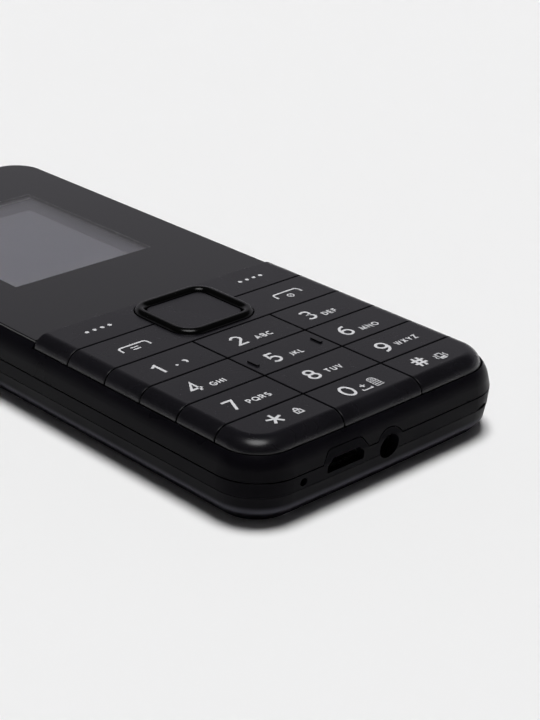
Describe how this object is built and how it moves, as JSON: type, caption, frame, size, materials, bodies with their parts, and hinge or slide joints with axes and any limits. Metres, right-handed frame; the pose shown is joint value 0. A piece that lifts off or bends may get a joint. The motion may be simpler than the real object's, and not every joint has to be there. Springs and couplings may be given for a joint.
{
  "type": "bar mobile phone",
  "caption": "Keypad mobile phone: black bar-shaped shell, pressable number keys, tipping navigation ring, display behind a flat lens, lift-off back cover.",
  "frame": {"origin": "on the table, under the middle of the back cover", "axes": "+X to the right of the keypad, +Y from the port end to the earpiece end, +Z out of the keys"},
  "size_m": [0.0544, 0.1254, 0.0133],
  "materials": {
    "housing_gloss": "gloss",
    "housing_satin": "satin",
    "cover_satin": "satin",
    "lens": "gloss",
    "keycap": "soft touch",
    "ring_gloss": "gloss",
    "rubber": "matte",
    "film": "satin",
    "board": "solder mask",
    "steel": "satin",
    "display": "gloss",
    "flex": "satin",
    "speaker": "matte",
    "weight": "satin",
    "battery": "label",
    "contact": "plated",
    "socket": "satin"
  },
  "bodies": {
    "back": {"battery_cover": "cover_satin"},
    "handset": {"front_housing": "housing_gloss", "rear_housing": "housing_satin", "display_lens": "lens", "keypad_mat": "rubber", "dome_sheet": "film", "main_board": "board", "housing_screws": "steel", "lcd_frame": "steel", "lcd_panel": "display", "lcd_flex": "flex", "earpiece": "speaker", "loudspeaker": "speaker", "microphone": "steel", "vibration_motor": "steel", "battery": "battery", "battery_contacts": "contact", "sim_holders": "steel", "memory_card_holder": "steel", "usb_shell": "steel", "usb_tongue": "socket", "audio_jack": "socket", "shield_cans": "steel", "antenna": "contact"},
    "key_star_cap": {"key_star": "keycap"},
    "key_0_cap": {"key_0": "keycap"},
    "key_hash_cap": {"key_hash": "keycap"},
    "key_7_cap": {"key_7": "keycap"},
    "key_8_cap": {"key_8": "keycap"},
    "key_9_cap": {"key_9": "keycap"},
    "key_4_cap": {"key_4": "keycap"},
    "key_5_cap": {"key_5": "keycap"},
    "key_6_cap": {"key_6": "keycap"},
    "key_1_cap": {"key_1": "keycap"},
    "key_2_cap": {"key_2": "keycap"},
    "key_3_cap": {"key_3": "keycap"},
    "soft_bar": {"soft_key_bar": "keycap"},
    "call_end_bar": {"call_end_key_bar": "keycap"},
    "rocker": {"navigation_rocker": "rubber"},
    "ring": {"navigation_ring": "ring_gloss"},
    "ok_cap": {"ok_key": "keycap"},
    "motor_weight": {"vibration_weight": "weight"}
  },
  "joints": [
    {"name": "back_cover_lift", "type": "slide", "parent": "back", "child": "handset", "axis": [0, 0, 1], "range_m": [0, 0.015]},
    {"name": "key_star_press", "type": "slide", "parent": "handset", "child": "key_star_cap", "axis": [0, 0, -1], "range_m": [0, 0.0003], "stiffness_N_per_m": 800},
    {"name": "key_0_press", "type": "slide", "parent": "handset", "child": "key_0_cap", "axis": [0, 0, -1], "range_m": [0, 0.0003], "stiffness_N_per_m": 800},
    {"name": "key_hash_press", "type": "slide", "parent": "handset", "child": "key_hash_cap", "axis": [0, 0, -1], "range_m": [0, 0.0003], "stiffness_N_per_m": 800},
    {"name": "key_7_press", "type": "slide", "parent": "handset", "child": "key_7_cap", "axis": [0, 0, -1], "range_m": [0, 0.0003], "stiffness_N_per_m": 800},
    {"name": "key_8_press", "type": "slide", "parent": "handset", "child": "key_8_cap", "axis": [0, 0, -1], "range_m": [0, 0.0003], "stiffness_N_per_m": 800},
    {"name": "key_9_press", "type": "slide", "parent": "handset", "child": "key_9_cap", "axis": [0, 0, -1], "range_m": [0, 0.0003], "stiffness_N_per_m": 800},
    {"name": "key_4_press", "type": "slide", "parent": "handset", "child": "key_4_cap", "axis": [0, 0, -1], "range_m": [0, 0.0003], "stiffness_N_per_m": 800},
    {"name": "key_5_press", "type": "slide", "parent": "handset", "child": "key_5_cap", "axis": [0, 0, -1], "range_m": [0, 0.0003], "stiffness_N_per_m": 800},
    {"name": "key_6_press", "type": "slide", "parent": "handset", "child": "key_6_cap", "axis": [0, 0, -1], "range_m": [0, 0.0003], "stiffness_N_per_m": 800},
    {"name": "key_1_press", "type": "slide", "parent": "handset", "child": "key_1_cap", "axis": [0, 0, -1], "range_m": [0, 0.0003], "stiffness_N_per_m": 800},
    {"name": "key_2_press", "type": "slide", "parent": "handset", "child": "key_2_cap", "axis": [0, 0, -1], "range_m": [0, 0.0003], "stiffness_N_per_m": 800},
    {"name": "key_3_press", "type": "slide", "parent": "handset", "child": "key_3_cap", "axis": [0, 0, -1], "range_m": [0, 0.0003], "stiffness_N_per_m": 800},
    {"name": "ok_key_press", "type": "slide", "parent": "handset", "child": "ok_cap", "axis": [0, 0, -1], "range_m": [0, 0.0003], "stiffness_N_per_m": 800},
    {"name": "soft_key_bar_rock", "type": "hinge", "parent": "handset", "child": "soft_bar", "pos_m": [0, -0.01525, 0.00955], "axis": [0, 1, 0], "range_deg": [-0.69, 0.69], "stiffness_Nm_per_rad": 0.16},
    {"name": "call_end_key_bar_rock", "type": "hinge", "parent": "handset", "child": "call_end_bar", "pos_m": [0, -0.0238, 0.00955], "axis": [0, 1, 0], "range_deg": [-0.69, 0.69], "stiffness_Nm_per_rad": 0.16},
    {"name": "navigation_up_down", "type": "hinge", "parent": "handset", "child": "rocker", "pos_m": [0, -0.01941, 0.00955], "axis": [1, 0, 0], "range_deg": [-1.5, 1.5], "stiffness_Nm_per_rad": 0.03},
    {"name": "navigation_left_right", "type": "hinge", "parent": "rocker", "child": "ring", "pos_m": [0, -0.01941, 0.0101], "axis": [0, 1, 0], "range_deg": [-1.5, 1.5], "stiffness_Nm_per_rad": 0.03},
    {"name": "vibration_motor_spin", "type": "hinge", "parent": "handset", "child": "motor_weight", "pos_m": [0.0119, 0.0343, 0.0052], "axis": [0, 1, 0], "continuous": true}
  ]
}
